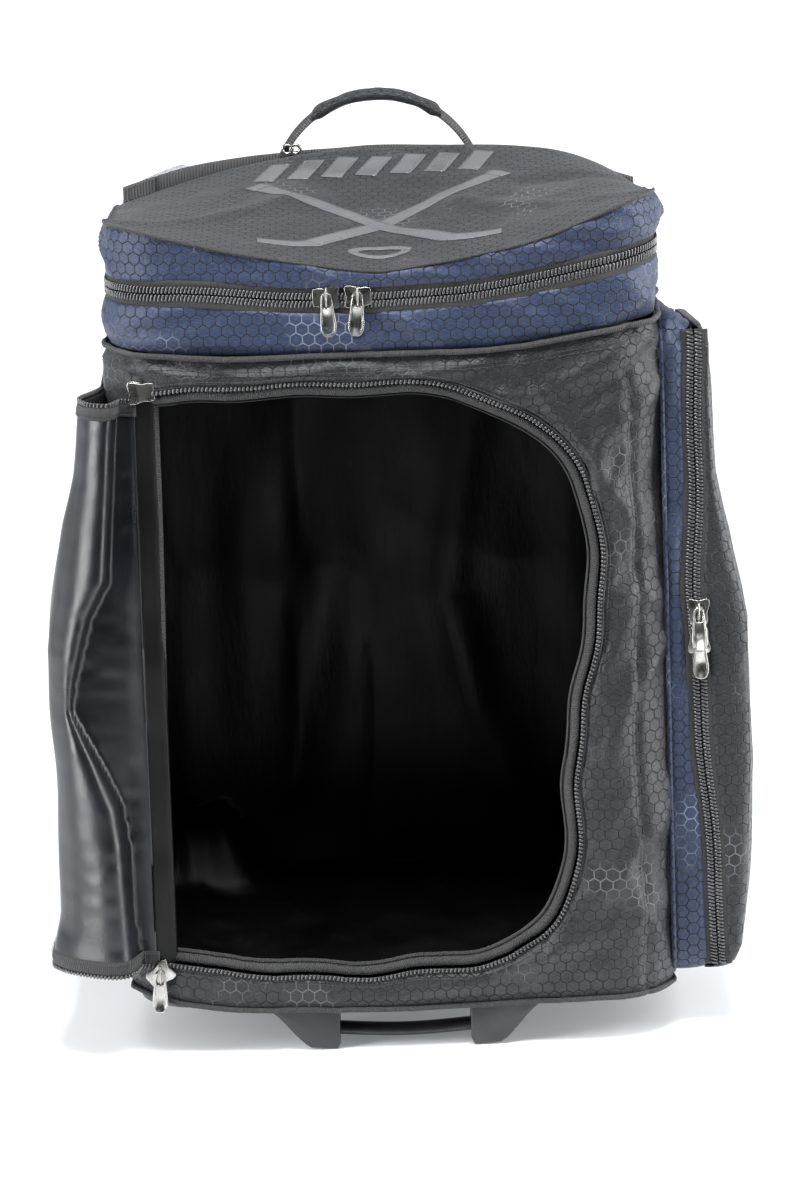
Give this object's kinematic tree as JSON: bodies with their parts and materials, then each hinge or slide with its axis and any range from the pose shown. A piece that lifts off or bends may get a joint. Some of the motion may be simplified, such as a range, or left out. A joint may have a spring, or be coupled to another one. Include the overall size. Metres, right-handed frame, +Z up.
{
  "type": "hockey equipment bag",
  "caption": "Upright wheeled hockey equipment bag with an open front flap, a zipped top compartment, a side pocket, a carry handle and a pull-out trolley.",
  "frame": {"origin": "on the ground, under the centre of the whole assembly's bounding box", "axes": "+Z up, -Y towards the front opening, +X towards the side pocket"},
  "size_m": [0.4906, 0.369, 0.647],
  "materials": {
    "honeycomb_black": "woven polyester with a honeycomb grid",
    "honeycomb_blue": "heathered slate blue with a honeycomb grid",
    "back_fabric": "pale grey woven",
    "lining_nylon": "thin black nylon",
    "flap_coating": "glossy coated underside",
    "binding_tape": "ribbed binding tape",
    "zip_tape": "woven tape with coil teeth",
    "webbing": "ribbed nylon webbing",
    "handle_padding": "padded wrap",
    "nickel": "polished nickel",
    "black_plastic": "moulded, fine grain",
    "board_plastic": "sheet",
    "button_plastic": "smooth",
    "aluminium_tube": "satin anodised",
    "steel": "zinc plated",
    "wheel_rubber": "polyurethane tyre"
  },
  "bodies": {
    "root": {"front_panel": "honeycomb_black", "left_side_panel": "honeycomb_black", "right_side_panel": "honeycomb_black", "back_panel": "back_fabric", "bottom_panel": "honeycomb_black", "base_board": "board_plastic", "back_board": "board_plastic", "divider_panel": "board_plastic", "main_lining": "lining_nylon", "seam_piping": "binding_tape", "top_lower_band": "honeycomb_blue", "top_zip_lower_tape": "zip_tape", "rear_deck": "back_fabric", "handle_strap": "webbing", "main_zip_body_tape": "zip_tape", "pocket_gusset": "honeycomb_blue", "pocket_zip_inner_tape": "zip_tape", "foot_bracket": "black_plastic", "foot_screws": "steel", "wheel_housing_left": "black_plastic", "wheel_housing_right": "black_plastic", "wheel_axles": "steel", "trolley_outer_tubes": "aluminium_tube", "trolley_base": "black_plastic", "trolley_bezel": "black_plastic"},
    "trolley_middle": {"trolley_middle_tubes": "aluminium_tube"},
    "trolley_inner": {"trolley_inner_tubes": "aluminium_tube", "trolley_grip": "black_plastic", "button_spring": "steel"},
    "trolley_button": {"trolley_release_button": "button_plastic", "trolley_push_rods": "aluminium_tube"},
    "wheel_left": {"wheel_tyre_left": "wheel_rubber", "wheel_hub_left": "black_plastic", "wheel_bearings_left": "steel"},
    "wheel_right": {"wheel_tyre_right": "wheel_rubber", "wheel_hub_right": "black_plastic", "wheel_bearings_right": "steel"},
    "lid": {"lid_panel": "honeycomb_black", "lid_band": "honeycomb_blue", "top_zip_upper_tape": "zip_tape"},
    "flap_inner": {"flap_inner_panel": "flap_coating"},
    "flap_outer": {"flap_outer_panel": "flap_coating", "flap_binding": "binding_tape", "flap_zip_tape": "zip_tape"},
    "pocket_panel": {"pocket_outer_panel": "honeycomb_black", "pocket_zip_outer_tape": "zip_tape"},
    "carry_handle": {"handle_webbing": "webbing", "handle_sleeve": "handle_padding"},
    "lid_zip_left_slider": {"lid_zip_left_slider": "nickel"},
    "lid_zip_left_pull": {"lid_zip_left_pull": "nickel"},
    "lid_zip_right_slider": {"lid_zip_right_slider": "nickel"},
    "lid_zip_right_pull": {"lid_zip_right_pull": "nickel"},
    "main_zip_upper_slider": {"main_zip_upper_slider": "nickel"},
    "main_zip_upper_pull": {"main_zip_upper_pull": "nickel"},
    "main_zip_lower_slider": {"main_zip_lower_slider": "nickel"},
    "main_zip_lower_pull": {"main_zip_lower_pull": "nickel"},
    "pocket_zip_upper_slider": {"pocket_zip_upper_slider": "nickel"},
    "pocket_zip_upper_pull": {"pocket_zip_upper_pull": "nickel"},
    "pocket_zip_lower_slider": {"pocket_zip_lower_slider": "nickel"},
    "pocket_zip_lower_pull": {"pocket_zip_lower_pull": "nickel"}
  },
  "joints": [
    {"name": "wheel_left_spin", "type": "hinge", "parent": "root", "child": "wheel_left", "pos_m": [-0.16575, 0.147, 0.0375], "axis": [1, 0, 0], "continuous": true},
    {"name": "wheel_right_spin", "type": "hinge", "parent": "root", "child": "wheel_right", "pos_m": [0.15025, 0.147, 0.0375], "axis": [1, 0, 0], "continuous": true},
    {"name": "trolley_middle_slide", "type": "slide", "parent": "root", "child": "trolley_middle", "axis": [0, 0, 1], "range_m": [0, 0.215]},
    {"name": "trolley_inner_slide", "type": "slide", "parent": "trolley_middle", "child": "trolley_inner", "axis": [0, 0, 1], "range_m": [0, 0.215]},
    {"name": "trolley_button_press", "type": "slide", "parent": "trolley_inner", "child": "trolley_button", "axis": [0, 0, -1], "range_m": [0, 0.004], "stiffness_N_per_m": 500, "springref_m": -0.006, "deforming": ["button_spring"]},
    {"name": "lid_hinge", "type": "hinge", "parent": "root", "child": "lid", "pos_m": [-0.00775, 0.118, 0.592], "axis": [-1, 0, 0], "range_deg": [0, 80]},
    {"name": "flap_hinge", "type": "hinge", "parent": "root", "child": "flap_inner", "pos_m": [-0.18175, -0.1765, 0.2785], "axis": [0, 0, 1], "range_deg": [0, 180]},
    {"name": "flap_fold", "type": "hinge", "parent": "flap_inner", "child": "flap_outer", "pos_m": [-0.24375, -0.1765, 0.2785], "axis": [0, 0, 1], "range_deg": [0, 90]},
    {"name": "pocket_panel_open", "type": "hinge", "parent": "root", "child": "pocket_panel", "pos_m": [0.21425, 0.12, 0.276], "axis": [0, 0, 1], "range_deg": [0, 30]},
    {"name": "carry_handle_fold", "type": "hinge", "parent": "root", "child": "carry_handle", "pos_m": [-0.00775, 0.136, 0.602], "axis": [-1, 0, 0], "range_deg": [0, 80]},
    {"name": "lid_zip_left_travel", "type": "slide", "parent": "root", "child": "lid_zip_left_slider", "axis": [-1, 0, 0], "range_m": [0, 0.1]},
    {"name": "lid_zip_left_pull_swing", "type": "hinge", "parent": "lid_zip_left_slider", "child": "lid_zip_left_pull", "pos_m": [-0.04625, -0.1814, 0.55325], "axis": [-1, 0, 0], "range_deg": [0, 165]},
    {"name": "lid_zip_right_travel", "type": "slide", "parent": "root", "child": "lid_zip_right_slider", "axis": [1, 0, 0], "range_m": [0, 0.15]},
    {"name": "lid_zip_right_pull_swing", "type": "hinge", "parent": "lid_zip_right_slider", "child": "lid_zip_right_pull", "pos_m": [-0.02425, -0.1814, 0.55325], "axis": [-1, 0, 0], "range_deg": [0, 165]},
    {"name": "main_zip_upper_travel", "type": "slide", "parent": "root", "child": "main_zip_upper_slider", "axis": [1, 0, 0], "range_m": [0, 0.2]},
    {"name": "main_zip_upper_pull_swing", "type": "hinge", "parent": "main_zip_upper_slider", "child": "main_zip_upper_pull", "pos_m": [-0.17775, -0.1716, 0.48975], "axis": [1, 0, 0], "range_deg": [0, 90]},
    {"name": "main_zip_lower_travel", "type": "slide", "parent": "root", "child": "main_zip_lower_slider", "axis": [1, 0, 0], "range_m": [0, 0.22]},
    {"name": "main_zip_lower_pull_swing", "type": "hinge", "parent": "main_zip_lower_slider", "child": "main_zip_lower_pull", "pos_m": [-0.18175, -0.1814, 0.06475], "axis": [-1, 0, 0], "range_deg": [0, 165]},
    {"name": "pocket_zip_upper_travel", "type": "slide", "parent": "root", "child": "pocket_zip_upper_slider", "axis": [0, 0, 1], "range_m": [0, 0.19]},
    {"name": "pocket_zip_upper_pull_swing", "type": "hinge", "parent": "pocket_zip_upper_slider", "child": "pocket_zip_upper_pull", "pos_m": [0.20925, -0.1594, 0.31375], "axis": [-1, 0, 0], "range_deg": [0, 120]},
    {"name": "pocket_zip_lower_travel", "type": "slide", "parent": "root", "child": "pocket_zip_lower_slider", "axis": [0, 0, -1], "range_m": [0, 0.23]},
    {"name": "pocket_zip_lower_pull_swing", "type": "hinge", "parent": "pocket_zip_lower_slider", "child": "pocket_zip_lower_pull", "pos_m": [0.20925, -0.1594, 0.29275], "axis": [-1, 0, 0], "range_deg": [0, 40]}
  ],
  "couplings": [
    {"joint": "flap_fold", "follows": "flap_hinge", "ratio": 0.5}
  ]
}
